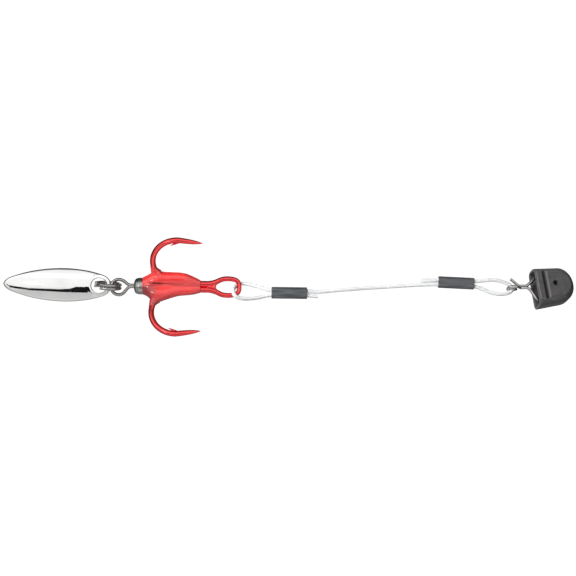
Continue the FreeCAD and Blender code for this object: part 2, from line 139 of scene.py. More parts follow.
HOOK_WIRE_RADIUS = 0.53
BEND_RADIUS = 5.05
BEND_ANGLE = math.radians(188)
BEND_CORNERS = 8
FORGED_INSET = 0.1
FORGED_SWELL = 1.1
POINT_TAPER = [(0.5, 1.05), (1.5, 0.97), (2.5, 0.82), (3.4, 0.57), (4.05, 0.3), (4.4, 0.06)]

# Each hook: where its shank stands, the way that it opens and the height where its bend starts
LEFT_HOOK = (Vector((-0.54, 0, 0)), math.radians(-58.8), -75.09)
RIGHT_HOOK = (Vector((0.54, 0, 0)), math.radians(61.2), -75.31)
BACK_HOOK = (Vector((0, 0.95, 0)), math.radians(181.2), -74.95)
THIRD_SHANK_TOP_Z = -71.6

# The barb: drop below the bend's start, height over the wire's inner side, share of its radius
BARB = [(-1.5, 0.42, 1.1), (-0.7, 0.2, 1.05), (0.2, -0.22, 0.9), (0.8, -0.52, 0.6), (1.4, -0.82, 0.12)]
BARB_RADIUS = 0.28

# One side of the line eye, from the shank to the top: place and share of the wire's radius
EYE_SIDE = [
    ((0.58, 0, -71.5), 1.14),
    ((0.58, 0, -70.0), 1.16),
    ((0.58, 0, -68.8), 1.12),
    ((1.0, 0, -67.45), 1.0),
    ((1.62, 0, -66.3), 0.96),
    ((1.7, 0, -64.7), 0.95),
    ((1.37, 0, -63.3), 0.88),
    ((0.56, 0, -62.88), 0.84),
]
EYE_WEB = [
    ((-0.95, 0, -67.3), 0.7),
    ((-0.45, 0, -67.97), 1.0),
    ((0.45, 0, -67.97), 1.0),
    ((0.95, 0, -67.3), 0.7),
]
EYE_SEAM = [((0, 0, -70.4), 0.4), ((0, 0, -69.4), 0.5), ((0, 0, -68.8), 0.8), ((0, 0, -68.1), 1.0)]
EYE_WEB_RADIUS = 0.41

# Moulded skins: size of their mesh and passes of smoothing
RESIN_SKIN = (0.08, 12)
RUBBER_SKIN = (0.07, 4)

# The resin's lobes, over the hooks above, below and behind: degrees round it, and how narrow they are
LOBE_ANGLES = (-150, -30, 90)
LOBE_POWER = 0.75

# Resin body: height, then radius over the hook above, the hook below, the hook behind, in the valleys
BODY_STEPS = 8
BODY_STATIONS = [
    (-82.2, 1.86, 1.72, 1.84, 1.74),
    (-81.4, 2.28, 2.10, 2.25, 1.92),
    (-80.4, 2.90, 3.00, 2.90, 2.02),
    (-79.0, 3.24, 3.40, 3.24, 1.86),
    (-77.6, 3.18, 3.02, 3.10, 1.62),
    (-76.2, 3.14, 2.48, 2.80, 1.50),
    (-74.8, 3.10, 2.06, 2.50, 1.42),
    (-73.4, 2.84, 1.92, 2.15, 1.34),
    (-72.0, 2.20, 1.72, 1.80, 1.24),
    (-70.6, 1.42, 1.30, 1.30, 1.06),
]

# Painted shade: the crease's depth for full shade, and the darkened root of the resin by height and across
# X, partly the resin thin over the dark barrel and partly painted shade, more below
CREASE_SHADE_DEPTH = 0.26
CREASE_SHADE_SPREAD = 1.5
ROOT_DARKENING_SPAN = (-81.2, -78.0)
ROOT_SHADE_TURN = (-0.7, 0.5)
ROOT_DARKENING_ABOVE = 0.3
ROOT_SHADE_BELOW = 0.6

# Names of the masks on the meshes: the resin's painted shade and darkened root, the rubber's painted edge
# highlights and the painted shade in the cap's groove
SHADE_AND_STAIN = "painted_shade_and_stain"
EDGE_HIGHLIGHT = "painted_edge_highlight"
GROOVE_SHADE = "painted_groove_shade"

# Resin round the root of each hook: degrees round the bend and radius
COLLAR = [(30, 1.25), (40, 1.35), (50, 1.34), (57, 1.2), (63, 0.98), (69, 0.78), (75, 0.64), (80, 0.55)]

# The crease down the front of the resin: height, X of its middle, depth and half width
CREASE = [
    (-81.8, -0.45, 0.0, 0.12),
    (-80.9, -0.52, 0.1, 0.12),
    (-79.9, -0.55, 0.27, 0.14),
    (-79.0, -0.55, 0.38, 0.14),
    (-77.8, -0.53, 0.15, 0.1),
    (-75.6, -0.45, 0.06, 0.11),
    (-73.5, -0.28, 0.02, 0.13),
    (-71.6, -0.05, 0.04, 0.14),
    (-70.4, 0.02, 0.1, 0.15),
]

SWIVEL_EYE_Z = -86.99
SWIVEL_EYE_RADIUS = 1.53
SWIVEL_EYE_DROP = 0.26
SWIVEL_EYE_STEP = 40
SWIVEL_EYE_TURNS = range(60, 301, SWIVEL_EYE_STEP)
SWIVEL_NECK = [((0.14, 0, -83.0), 0.93), ((0.14, 0, -84.3), 0.93), ((0.2, 0, -85.1), 0.98)]
SWIVEL_WIRE_RADIUS = 0.34
BARREL_TAIL_Z = -83.97
BARREL_HEAD_Z = -79.4

# The barrel's section as radius and height: from its tail's hole outwards, over its head, and inside
BARREL_TAIL = [
    (0.47, 0.06), (0.53, 0.01), (0.62, 0), (0.78, 0.02), (1.05, 0.1), (1.3, 0.23), (1.47, 0.38),
    (1.56, 0.5), (1.59, 0.58), (1.57, 0.64), (1.58, 0.7), (1.64, 0.78), (1.68, 0.92), (1.7, 1.15),
    (1.7, 1.6), (1.7, 2.6),
]
BARREL_HEAD = [(1.7, -0.15), (1.65, -0.04), (1.55, 0), (0.47, 0), (0.47, -0.7), (1.2, -0.72)]
BARREL_INSIDE = [(1.2, 0.84), (0.47, 0.82), (0.47, 0.4)]
STEM_HEAD = [(0.05, -83.05), (0.85, -83.05), (0.95, -82.95), (0.95, -82.65), (0.85, -82.55), (0.05, -82.55)]

# Split ring, wound flat: degrees from its top round by the far side, and where it jogs across
RING_Z = -89.18
RING_RADIUS = 2.5
RING_WIRE_RADIUS = 0.31
RING_HALF_GAP = 0.34
RING_START = 240
RING_END = 890
RING_STEP = 25
RING_JOG = (525, 605)
RING_YAW = math.radians(7)
RING_TILT = math.radians(4)

# Blade: fineness of its mesh, and the angles round its rounded rims from one face to the other
BLADE_COLUMNS = 288
BLADE_SPANS = 44
BLADE_STEPS = 24
RIM_TURNS = [math.radians(turn) for turn in (22.5, 45, 67.5, 90, 112.5, 135, 157.5)]

BLADE_TAIL_Z = -110.38
BLADE_HEAD_Z = -88.57
BLADE_THICKNESS = 0.45
BLADE_HOLE_RADIUS = 1.48
BLADE_BACK = 0.7
BLADE_CROSS_RADIUS = 6.7
BLADE_LENGTH_RADIUS = 46.0

# The stamped ring round the blade's hole, and how the border falls back, most at the tip
EMBOSS_RADIUS = 2.15
EMBOSS_HEIGHT = 0.035
EMBOSS_HALF_WIDTH = 0.14
BLADE_BORDER = 0.6
BLADE_ROLL = 0.07
BLADE_TIP_ROLL = 0.2
BLADE_TIP_SPAN = (-110.2, -108.4)

# The blade's outline: distance from its tail and half width
BLADE_SIDE = [
    (0.8, 1.05),
    (2.6, 1.8),
    (5.6, 2.65),
    (9.0, 3.2),
    (12.6, 3.38),
    (16.0, 3.12),
    (18.8, 2.55),
    (20.9, 1.7),
]

# Rubber cap: its flat face, over Y and over X, and the mouth of its through-hole
CAP_FACE_Y = 1.9
CAP_FACE_START = (1.5, 1.78)
CAP_MIDDLE_X = 0.2
CAP_FLAT_EDGE = (2.75, 3.05)
CAP_HOLE_REACH = 1.0
CAP_HOLE_WIDEN = 0.25

# The cap's relief: the heights where its band and its groove begin and end, and its raised panel
BAND_SPAN = ((-3.7, -3.45), (-2.55, -2.3))
BAND_RAISE = 0.16
GROOVE_SPAN = ((-2.5, -2.25), (-1.9, -1.6))
GROOVE_DEPTH = 0.26
PANEL_RAISE = 0.34
PANEL_HALF_WIDTH = 2.75
PANEL_FLARE = 0.07
PANEL_START_Z = -1.8
PANEL_BEVEL = 0.42
PANEL_EDGE_SHARE = 0.87
PANEL_CROWN_START = 1.0
PANEL_TOP_Z = 3.5

# ---------------------------------------------------------------- studio, in metres

# The camera's lens and sensor are in millimetres
CAMERA_PLACE = Vector((0.000322, -0.322, -0.05315))
CAMERA_LENS = 100
CAMERA_SENSOR = 36

# Light by direction, from -1 to 1: where along the view the side ring lies, then the light over X
# of the caps in front and behind, and of the ring
WORLD_RING = [(-1, 0.0), (-0.42, 0.0), (-0.25, 1.0), (0.8, 1.0), (0.93, 0.0)]
WORLD_CAP_ACROSS = [
    (-1, 0.7),
    (-0.845, 0.65),
    (-0.825, 0.05),
    (-0.795, 0.05),
    (-0.77, 1.0),
    (-0.62, 1.05),
    (-0.5, 1.7),
    (-0.36, 1.05),
    (0.12, 1.0),
    (0.4, 0.6),
    (0.78, 0.68),
    (0.9, 1.5),
]
WORLD_RING_ACROSS = [(-1, 0.1), (0.0, 0.12), (0.45, 0.25), (0.8, 0.42), (1, 0.46)]

# Soft boxes: name, place from the middle of the rig, size, power and whether polished pieces show it
SOFT_BOXES = [
    ("key", (-0.3, -0.3, -0.28), (0.25, 0.25), 2.95, False),
    ("fill", (0.35, -0.5, 0.1), (0.7, 0.7), 1.7, False),
    ("back", (-0.35, 0.55, 0.25), (0.6, 0.6), 2.5, False),
    ("glint", (-0.03, -0.36, -0.19), (0.05, 0.03), 0.12, True),
]

FLOOR_Z = -0.45
FLOOR_OUTLINE = [(-1, -1.4), (1, -1.4), (1, 0.6), (-1, 0.6)]
FLOOR_GLOW = 0.8
SURROUND_RADIUS = 3
SURROUND_GLOW = 1.02
PAPER_TINT = 0.9

# The dark shape that the blade and the wires reflect, over X and Z
FLAG_Y = -0.3
FLAG_OUTLINE = [
    (0.0, -0.42),
    (0.008, -0.33),
    (0.035, -0.3),
    (0.073, -0.237),
    (0.077, -0.17),
    (0.082, -0.137),
    (0.067, -0.104),
    (0.031, -0.086),
    (0.031, -0.02),
    (0.143, -0.02),
    (0.143, -0.086),
    (0.135, -0.137),
    (0.126, -0.17),
    (0.117, -0.237),
    (0.08, -0.3),
    (0.05, -0.33),
    (0.04, -0.42),
]


# ---------------------------------------------------------------- helpers

def new_piece(name, data):
    """An object in the scene."""
    piece = bpy.data.objects.new(name, data)
    bpy.context.scene.collection.objects.link(piece)
    return piece


def mesh_piece(name, points, faces):
    """A smooth shaded mesh, still in its local frame, with its faces turned outwards."""
    mesh = bpy.data.meshes.new(name)
    mesh.from_pydata([tuple(point) for point in points], [], faces)
    work = bmesh.new()
    work.from_mesh(mesh)
    bmesh.ops.recalc_face_normals(work, faces=work.faces)
    work.to_mesh(mesh)
    work.free()
    mesh.shade_smooth()
    return new_piece(name, mesh)


def wire(name, points, radius, place, swell=None, roundness=8):
    """A round wire on a smooth curve. swell gives the share of the radius at each point."""
    curve = bpy.data.curves.new(name, "CURVE")
    curve.dimensions = "3D"
    curve.bevel_depth = radius * MM
    curve.bevel_resolution = roundness
    curve.resolution_u = 12
    curve.use_fill_caps = True
    spline = curve.splines.new("NURBS")
    spline.points.add(len(points) - 1)
    for i, point in enumerate(spline.points):
        point.co = (*(place @ Vector(points[i])), 1)
        point.radius = swell[i] if swell else 1
    spline.order_u = 3
    spline.use_endpoint_u = True
    return new_piece(name, curve)


def skinned(piece, voxel, smoothing):
    """Wrap a piece, still in millimetres, in one even skin and soften its edges."""
    skin = piece.modifiers.new("skin", "REMESH")
    skin.mode = "VOXEL"
    skin.voxel_size = voxel
    skin.use_smooth_shade = True
    soften = piece.modifiers.new("soften", "SMOOTH")
    soften.factor = 0.5
    soften.iterations = smoothing
    depsgraph = bpy.context.evaluated_depsgraph_get()
    mesh = bpy.data.meshes.new_from_object(piece.evaluated_get(depsgraph))
    piece.modifiers.clear()
    piece.data = mesh
    return piece


def copy_of_node(name, node, place):
    """A copy of a CAD node's mesh, taken back into a local frame in millimetres."""
    mesh = frame["nodes"][node].data.copy()
    mesh.materials.clear()
    mesh.transform(place.inverted())
    return new_piece(name, mesh)


def finished(piece, finish, body, nodes=(), place=None):
    """Put a piece in place, give it its material and tie it to the CAD model."""
    if place is not None:
        piece.data.transform(place)
    piece.data.materials.append(finish)
    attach(piece, body)
    if nodes:
        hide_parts(*nodes)
    return piece


def recoat(node, finish):
    """Give a CAD node, whose shape is kept as it is, its material."""
    frame["nodes"][node].data.materials[0] = finish


def smooth_step(value, low, high):
    """0 below low, 1 above high and a smooth rise between them."""
    share = min(max((value - low) / (high - low), 0), 1)
    return share * share * (3 - 2 * share)


def catmull(before, low, high, after, share):
    """A point on a smooth curve between low and high."""
    bend = (low - high) * 3 + after - before
    start = before * 2 - low * 5 + high * 4 - after
    return low + ((high - before) + (start + bend * share) * share) * (share / 2)


def smooth_loop(corners, steps):
    """A closed smooth curve through corners, as points."""
    count = len(corners)
    points = []
    for i in range(count):
        before, low, high, after = (corners[(i + k) % count] for k in (-1, 0, 1, 2))
        points += [catmull(before, low, high, after, step / steps) for step in range(steps)]
    return points


def smooth_rows(stations, steps):
    """Rows of numbers on smooth curves through the stations."""
    rows = [Vector(station) for station in stations]
    ends = [rows[0]] + rows + [rows[-1]]
    result = []
    for i in range(len(rows) - 1):
        result += [catmull(*ends[i : i + 4], step / steps) for step in range(steps)]
    return result + [rows[-1]]


def evenly(loop, count):
    """The closed loop again with evenly spaced points."""
    closed = loop + [loop[0]]
    reach = [0.0]
    for a, b in zip(closed, closed[1:]):
        reach.append(reach[-1] + (b - a).length)
    result = []
    k = 0
    for i in range(count):
        target = reach[-1] * i / count
        while reach[k + 1] < target:
            k += 1
        result.append(closed[k].lerp(closed[k + 1], (target - reach[k]) / (reach[k + 1] - reach[k])))
    return result


def grid_faces(rows, columns, closed_rows=False):
    """Quads between rows of points, each row a closed ring."""
    faces = []
    for i in range(rows if closed_rows else rows - 1):
        j = (i + 1) % rows
        for k in range(columns):
            n = (k + 1) % columns
            faces.append((i * columns + k, i * columns + n, j * columns + n, j * columns + k))
    return faces


def tube_faces(rows, columns):
    """Quads between rows of points, with a face over each end."""
    count = rows * columns
    return grid_faces(rows, columns) + [tuple(range(columns)), tuple(range(count - columns, count))]


def turned(name, profile, sides=72):
    """A ring turned about Z from a closed profile of (radius, height) points."""
    points = []
    for radius, height in profile:
        for k in range(sides):
            angle = math.tau * k / sides
            points.append((radius * math.cos(angle), radius * math.sin(angle), height))
    return mesh_piece(name, points, grid_faces(len(profile), sides, closed_rows=True))


# ---------------------------------------------------------------- materials

# Nearly all of a noise pattern lies between these levels
NOISE_LOW = 0.3
NOISE_HIGH = 0.7


def material(name, **plain):
    """A material whose plain values sit on the shader's own sockets."""
    made = bpy.data.materials.new(name)
    made.use_nodes = True
    shader = made.node_tree.nodes["Principled BSDF"]
    for socket, value in plain.items():
        shader.inputs[socket.replace("_", " ")].default_value = value
    return made


def grain(finish, size, detail=4, stretch=(1, 1, 1)):
    """Noise with a grain of a size in millimetres, stretched along the row frame's axes."""
    nodes, links = finish.node_tree.nodes, finish.node_tree.links
    place = nodes.new("ShaderNodeTexCoord")
    scale = nodes.new("ShaderNodeMapping")
    scale.inputs["Scale"].default_value = [1 / (MM * size * share) for share in stretch]
    pattern = nodes.new("ShaderNodeTexNoise")
    pattern.inputs["Scale"].default_value = 1
    pattern.inputs["Detail"].default_value = detail
    links.new(place.outputs["Object"], scale.inputs["Vector"])
    links.new(scale.outputs["Vector"], pattern.inputs["Vector"])
    return pattern.outputs["Fac"]


def tinted(finish, pattern, dark, light, socket="Base Color"):
    """Drive a colour between two tints."""
    nodes, links = finish.node_tree.nodes, finish.node_tree.links
    ramp = nodes.new("ShaderNodeValToRGB")
    ramp.color_ramp.elements[0].position = NOISE_LOW
    ramp.color_ramp.elements[1].position = NOISE_HIGH
    ramp.color_ramp.elements[0].color = (*dark, 1)
    ramp.color_ramp.elements[1].color = (*light, 1)
    links.new(pattern, ramp.inputs["Fac"])
    links.new(ramp.outputs["Color"], nodes["Principled BSDF"].inputs[socket])


def varied(finish, pattern, low, high):
    """Drive the roughness between two values."""
    nodes, links = finish.node_tree.nodes, finish.node_tree.links
    spread = nodes.new("ShaderNodeMapRange")
    spread.inputs["From Min"].default_value = NOISE_LOW
    spread.inputs["From Max"].default_value = NOISE_HIGH
    spread.inputs["To Min"].default_value = low
    spread.inputs["To Max"].default_value = high
    links.new(pattern, spread.inputs["Value"])
    links.new(spread.outputs["Result"], nodes["Principled BSDF"].inputs["Roughness"])


def bumped(finish, pattern, height):
    """Raise the surface by a pattern, by a height in millimetres."""
    nodes, links = finish.node_tree.nodes, finish.node_tree.links
    bump = nodes.new("ShaderNodeBump")
    bump.inputs["Strength"].default_value = 1
    bump.inputs["Distance"].default_value = height * MM
    links.new(pattern, bump.inputs["Height"])
    links.new(bump.outputs["Normal"], nodes["Principled BSDF"].inputs["Normal"])


def masked(finish, mask, tint, share=1.0):
    """Mix the base colour towards a tint by a mask on the mesh."""
    nodes, links = finish.node_tree.nodes, finish.node_tree.links
    base = nodes["Principled BSDF"].inputs["Base Color"]
    where = nodes.new("ShaderNodeAttribute")
    where.attribute_name = mask
    spread = nodes.new("ShaderNodeMapRange")
    spread.inputs["To Max"].default_value = share
    mix = nodes.new("ShaderNodeMix")
    mix.data_type = "RGBA"
    mix.inputs["B"].default_value = (*tint, 1)
    links.new(base.links[0].from_socket, mix.inputs["A"])
    links.new(where.outputs["Fac"], spread.inputs["Value"])
    links.new(spread.outputs["Result"], mix.inputs["Factor"])
    links.new(mix.outputs["Result"], base)


def rubber_finish():
    """Matt moulded rubber with a fine grain and a dusty bloom, painted highlights along the edges of its
    band and panel, and painted shade in its groove.
    """
    finish = material("moulded_rubber", Specular_IOR_Level=0.15)
    tinted(finish, grain(finish, 1.1), (0.064, 0.062, 0.062), (0.09, 0.087, 0.087))
    # Painted highlight: lighter along the edges of the band and the panel
    masked(finish, EDGE_HIGHLIGHT, (0.15, 0.147, 0.145), 0.6)
    # Painted shade: darker in the groove
    masked(finish, GROOVE_SHADE, (0.012, 0.012, 0.012), 0.85)
    varied(finish, grain(finish, 0.5), 0.4, 0.55)
    bumped(finish, grain(finish, 0.16), 0.012)
    return finish


def stainless_finish():
    """Bright drawn stainless wire with faint draw marks."""
    finish = material("drawn_stainless", Metallic=1)
    tinted(finish, grain(finish, 0.5), (0.38, 0.38, 0.37), (0.56, 0.56, 0.545))
    varied(finish, grain(finish, 0.4, stretch=(1, 1, 3)), 0.09, 0.17)
    bumped(finish, grain(finish, 0.3, stretch=(1, 1, 4)), 0.003)
    return finish


def line_finish():
    """Clear nylon, a little milky, with a soft waxy surface."""
    finish = material("clear_nylon", IOR=1.5, Transmission_Weight=0.12, Subsurface_Weight=0.4)
    finish.node_tree.nodes["Principled BSDF"].inputs["Subsurface Radius"].default_value = [0.3 * MM] * 3
    tinted(finish, grain(finish, 4.0, detail=1), (0.71, 0.72, 0.73), (0.79, 0.795, 0.8))
    varied(finish, grain(finish, 2.0, detail=1), 0.2, 0.3)
    bumped(finish, grain(finish, 3.0, detail=1), 0.003)
    return finish


def sleeve_finish():
    """Black oxide crimp sleeve, satin, scuffed along its length."""
    finish = material("black_sleeve", Metallic=0.3)
    tinted(finish, grain(finish, 0.5, 2, (1, 1, 9)), (0.042, 0.046, 0.05), (0.115, 0.12, 0.127))
    varied(finish, grain(finish, 0.2, stretch=(1, 1, 8)), 0.3, 0.5)
    bumped(finish, grain(finish, 0.14, stretch=(1, 1, 7)), 0.01)
    return finish


def red_wire_finish():
    """Red lacquer over bright hook wire: metallic under a clear coat."""
    finish = material(
        "red_lacquered_wire",
        Metallic=1,
        Specular_Tint=(0.75, 0.05, 0.07, 1),
        Coat_Weight=0.2,
        Coat_Roughness=0.08,
    )
    tinted(finish, grain(finish, 1.2), (0.86, 0.062, 0.068), (0.95, 0.09, 0.095))
    varied(finish, grain(finish, 0.25), 0.15, 0.26)
    bumped(finish, grain(finish, 0.2), 0.004)
    return finish


def red_resin_finish():
    """Glossy red resin with slow waves from its mould, darker at its root where it runs thin over the
    barrel, with painted shade below the root and in its crease.
    """
    finish = material(
        "red_resin",
        Coat_Weight=0.9,
        Coat_Roughness=0.05,
        Subsurface_Weight=0.15,
        IOR=1.5,
    )
    shader = finish.node_tree.nodes["Principled BSDF"]
    shader.inputs["Subsurface Radius"].default_value = [0.9 * MM, 0.15 * MM, 0.1 * MM]
    tinted(finish, grain(finish, 3.0, detail=2), (0.70, 0.022, 0.02), (0.80, 0.038, 0.036))
    # Painted shade in the crease and below the root; the root also darker where the resin runs thin over
    # the barrel
    masked(finish, SHADE_AND_STAIN, (0.12, 0.006, 0.01))
    varied(finish, grain(finish, 1.2, detail=2), 0.16, 0.24)
    bumped(finish, grain(finish, 2.4, detail=1), 0.06)
    return finish


def black_nickel_finish():
    """Black nickel plate: grey metal, brighter where it is rubbed."""
    finish = material("black_nickel", Metallic=1)
    tinted(finish, grain(finish, 0.8), (0.30, 0.297, 0.288), (0.42, 0.415, 0.405))
    varied(finish, grain(finish, 0.4), 0.2, 0.3)
    bumped(finish, grain(finish, 0.3), 0.002)
    return finish


def chrome_finish():
    """Bright plated blade with polishing lines along it."""
    finish = material("bright_plate", Metallic=1)
    tinted(finish, grain(finish, 3.0), (0.84, 0.835, 0.83), (0.93, 0.925, 0.92))
    varied(finish, grain(finish, 0.5, stretch=(1, 1, 10)), 0.03, 0.09)
    bumped(finish, grain(finish, 0.25, stretch=(1, 1, 16)), 0.0012)
    return finish


# ---------------------------------------------------------------- cap

def in_cap_panel(x, z):
    """How far a spot on the cap's face is inside the raised panel, from 0 to 1."""
    side = PANEL_HALF_WIDTH + PANEL_FLARE * (PANEL_CROWN_START - z)
    rise = max(z - PANEL_CROWN_START, 0) / (PANEL_TOP_Z - PANEL_CROWN_START)
    reach = math.hypot((x - CAP_MIDDLE_X) / side, rise)
    start = smooth_step(z, PANEL_START_Z, PANEL_START_Z + PANEL_BEVEL)
    return start * (1 - smooth_step(reach, PANEL_EDGE_SHARE, 1))


def across_cap(x):
    """1 on the flat of the cap's face and 0 past its sides."""
    return 1 - smooth_step(abs(x - CAP_MIDDLE_X), *CAP_FLAT_EDGE)


def in_cap_groove(x, z):
    """How far a spot on the cap's face is inside the groove, from 0 to 1."""
    (low, full), (end, gone) = GROOVE_SPAN
    return across_cap(x) * smooth_step(z, low, full) * (1 - smooth_step(z, end, gone))


def in_rim_band(x, z):
    """How far a spot on the cap's face is on the raised band round its mouth, from 0 to 1."""
    (low, full), (end, gone) = BAND_SPAN
    return across_cap(x) * smooth_step(z, low, full) * (1 - smooth_step(z, end, gone))


def rubber_cap(finish):
    """The cap's CAD shape with soft moulded edges, its relief and a clean through-hole."""
    cap = skinned(copy_of_node("rubber_cap_moulded", "rubber_cap", CAP), *RUBBER_SKIN)
    painted_edge_highlight = cap.data.attributes.new(EDGE_HIGHLIGHT, "FLOAT", "POINT")
    painted_groove_shade = cap.data.attributes.new(GROOVE_SHADE, "FLOAT", "POINT")
    for vertex in cap.data.vertices:
        x, y, z = vertex.co
        flat = smooth_step(abs(y), *CAP_FACE_START)
        panel, groove, band = (flat * part(x, z) for part in (in_cap_panel, in_cap_groove, in_rim_band))
        # Painted highlights along the edges of the band and the panel, painted shade in the groove
        painted_edge_highlight.data[vertex.index].value = 4 * max(panel * (1 - panel), band * (1 - band))
        painted_groove_shade.data[vertex.index].value = groove
        level = min(abs(y), CAP_FACE_Y) + BAND_RAISE * band - GROOVE_DEPTH * groove + PANEL_RAISE * panel
        away = math.hypot(x, z)
        if away < CAP_HOLE_REACH:
            widen = 1 + CAP_HOLE_WIDEN * (1 - away / CAP_HOLE_REACH)
            x, z = x * widen, z * widen
        vertex.co = (x, math.copysign(level, y), z)
    finished(cap, finish, "cap", ["rubber_cap"], CAP)


# ---------------------------------------------------------------- leader

def leader(finish):
    """Clear line from one cut end to the other, twice through each sleeve."""
    line = finished(
        wire("leader_line_clear", LEADER_ROUTE, LINE_DIAMETER / 2, RIG, roundness=LINE_ROUNDNESS),
        finish, "leader", ["leader_line"],
    )


# ---------------------------------------------------------------- treble

def in_hook_plane(hook, along, drop):
    """A point in a hook's plane: along outwards from its shank, and down from its bend's start."""
    shank, spread, bend_z = hook
    return shank + Vector((along * math.sin(spread), -along * math.cos(spread), bend_z - drop))


def bend_place(hook, angle, reach=BEND_RADIUS):
    """A point at an angle round the bend, measured from the shank."""
    return in_hook_plane(hook, BEND_RADIUS - reach * math.cos(angle), reach * math.sin(angle))


def bend_and_point(hook):
    """Control points of one hook from its shank to its tip, each with its share of the wire's radius."""
    step = BEND_ANGLE / BEND_CORNERS
    reach = (BEND_RADIUS - FORGED_INSET) / math.cos(step / 2)
    route = [(in_hook_plane(hook, 0, -BEND_RADIUS * math.tan(step / 2)), 1.0)]
    route += [(bend_place(hook, step * (i + 0.5), reach), FORGED_SWELL) for i in range(BEND_CORNERS)]
    end = bend_place(hook, BEND_ANGLE, BEND_RADIUS - FORGED_INSET)
    ahead = (end - route[-1][0]).normalized()
    return route + [(end + ahead * run, share) for run, share in POINT_TAPER]


def shaped_wire(name, route, radius, place):
    """A wire from a list of points, each with its share of the radius."""
    return wire(name, [point for point, _ in route], radius, place, [share for _, share in route])


def barb(name, hook, finish):
    """A sliver cut from the inside of the wire and lifted, pointing back into the bend."""
    leg = 2 * BEND_RADIUS - HOOK_WIRE_RADIUS
    route = [(in_hook_plane(hook, leg + rise, drop), share) for drop, rise, share in BARB]
    finished(shaped_wire(name, route, BARB_RADIUS, CHAIN), finish, "treble")


def double_hook(finish):
    """Two hooks and the line eye, bent from one wire, with a web of solder where the eye closes."""
    mirrored = [((-x, y, z), share) for (x, y, z), share in EYE_SIDE]
    route = bend_and_point(LEFT_HOOK)[::-1] + mirrored + EYE_SIDE[::-1] + bend_and_point(RIGHT_HOOK)
    hook = shaped_wire("double_hook_lacquered", route, HOOK_WIRE_RADIUS, CHAIN)
    finished(hook, finish, "treble", ["double_hook"])
    for name, route in (("line_eye_web", EYE_WEB), ("line_eye_seam", EYE_SEAM)):
        finished(shaped_wire(name, route, EYE_WEB_RADIUS, CHAIN), finish, "treble")
    barb("barb_left", LEFT_HOOK, finish)
    barb("barb_right", RIGHT_HOOK, finish)


def third_hook(finish):
    """The single hook that lies in the groove behind the other two shanks."""
    shank = BACK_HOOK[0]
    route = [(shank + Vector((0, 0, THIRD_SHANK_TOP_Z)), 1.0)] + bend_and_point(BACK_HOOK)
    hook = shaped_wire("third_hook_lacquered", route, HOOK_WIRE_RADIUS, CHAIN)
    finished(hook, finish, "treble", ["third_hook"])
    barb("barb_back", BACK_HOOK, finish)


def body_ring(height, above, below, behind, valley, count=120):
    """One section of the resin: a lobe over each hook and a valley between each two."""
    lobes = list(zip(LOBE_ANGLES, (above, below, behind)))
    ring = []
    for i in range(count):
        angle = 360 * i / count - 180
        lobe, size = min(lobes, key=lambda item: abs((angle - item[0] + 180) % 360 - 180))
        away = math.radians((angle - lobe + 180) % 360 - 180)
        swell = ((1 + math.cos(len(lobes) * away)) / 2) ** LOBE_POWER
        radius = valley + (size - valley) * swell
        turn = math.radians(angle)
        ring.append(Vector((radius * math.cos(turn), radius * math.sin(turn), height)))
    return ring


def tube_mesh(route, radii, sides=24):
    """Rings of points round a route and their faces, both ends closed."""
    points = []
    for i, centre in enumerate(route):
        heading = (route[min(i + 1, len(route) - 1)] - route[max(i - 1, 0)]).normalized()
        side = heading.orthogonal().normalized()
        other = heading.cross(side)
        for k in range(sides):
            angle = math.tau * k / sides
            points.append(centre + (side * math.cos(angle) + other * math.sin(angle)) * radii[i])
    return points, tube_faces(len(route), sides)


def crease_at(z):
    """Where the front crease of the resin runs at a height, and its depth and half width there."""
    for (low, *below), (high, *above) in zip(CREASE, CREASE[1:]):
        if low <= z <= high:
            share = (z - low) / (high - low)
            return [a + (b - a) * share for a, b in zip(below, above)]
    return 0, 0, 1


def hook_body(finish):
    """Resin moulded over the shanks, with a collar that flows out onto each hook."""
    rings = [body_ring(*row) for row in smooth_rows(BODY_STATIONS, BODY_STEPS)]
    points = [point for ring in rings for point in ring]
    faces = tube_faces(len(rings), len(rings[0]))
    for hook in (LEFT_HOOK, RIGHT_HOOK, BACK_HOOK):
        route = [bend_place(hook, math.radians(turn)) for turn, _ in COLLAR]
        more, more_faces = tube_mesh(route, [radius for _, radius in COLLAR])
        faces += [tuple(len(points) + corner for corner in face) for face in more_faces]
        points += more
    body = skinned(mesh_piece("hook_body_resin", points, faces), *RESIN_SKIN)
    painted_shade_and_stain = body.data.attributes.new(SHADE_AND_STAIN, "FLOAT", "POINT")
    for vertex in body.data.vertices:
        x, y, z = vertex.co
        middle, depth, width = crease_at(z)
        near = math.exp(-(((x - middle) / width) ** 2)) if y < 0 else 0
        vertex.co.y += depth * near
        # Darker root: the resin thin over the dark barrel, and painted shade, more below
        root = 1 - smooth_step(z, *ROOT_DARKENING_SPAN)
        root_dark = root * (ROOT_DARKENING_ABOVE + ROOT_SHADE_BELOW * smooth_step(x, *ROOT_SHADE_TURN))
        # Painted shade in the crease
        crease = min(1, CREASE_SHADE_SPREAD * near) * min(1, depth / CREASE_SHADE_DEPTH)
        painted_shade_and_stain.data[vertex.index].value = max(root_dark, crease)
    finished(body, finish, "treble", ["hook_body"], CHAIN)


# ---------------------------------------------------------------- swivel, ring and blade

def swivel_barrel(finish):
    """Turned barrel with a rolled lip at its open end."""
    profile = [(radius, BARREL_TAIL_Z + height) for radius, height in BARREL_TAIL]
    profile += [(radius, BARREL_HEAD_Z + height) for radius, height in BARREL_HEAD]
    profile += [(radius, BARREL_TAIL_Z + height) for radius, height in BARREL_INSIDE]
    barrel = turned("swivel_barrel_turned", profile)
    finished(barrel, finish, "treble", ["swivel_barrel"], CHAIN)


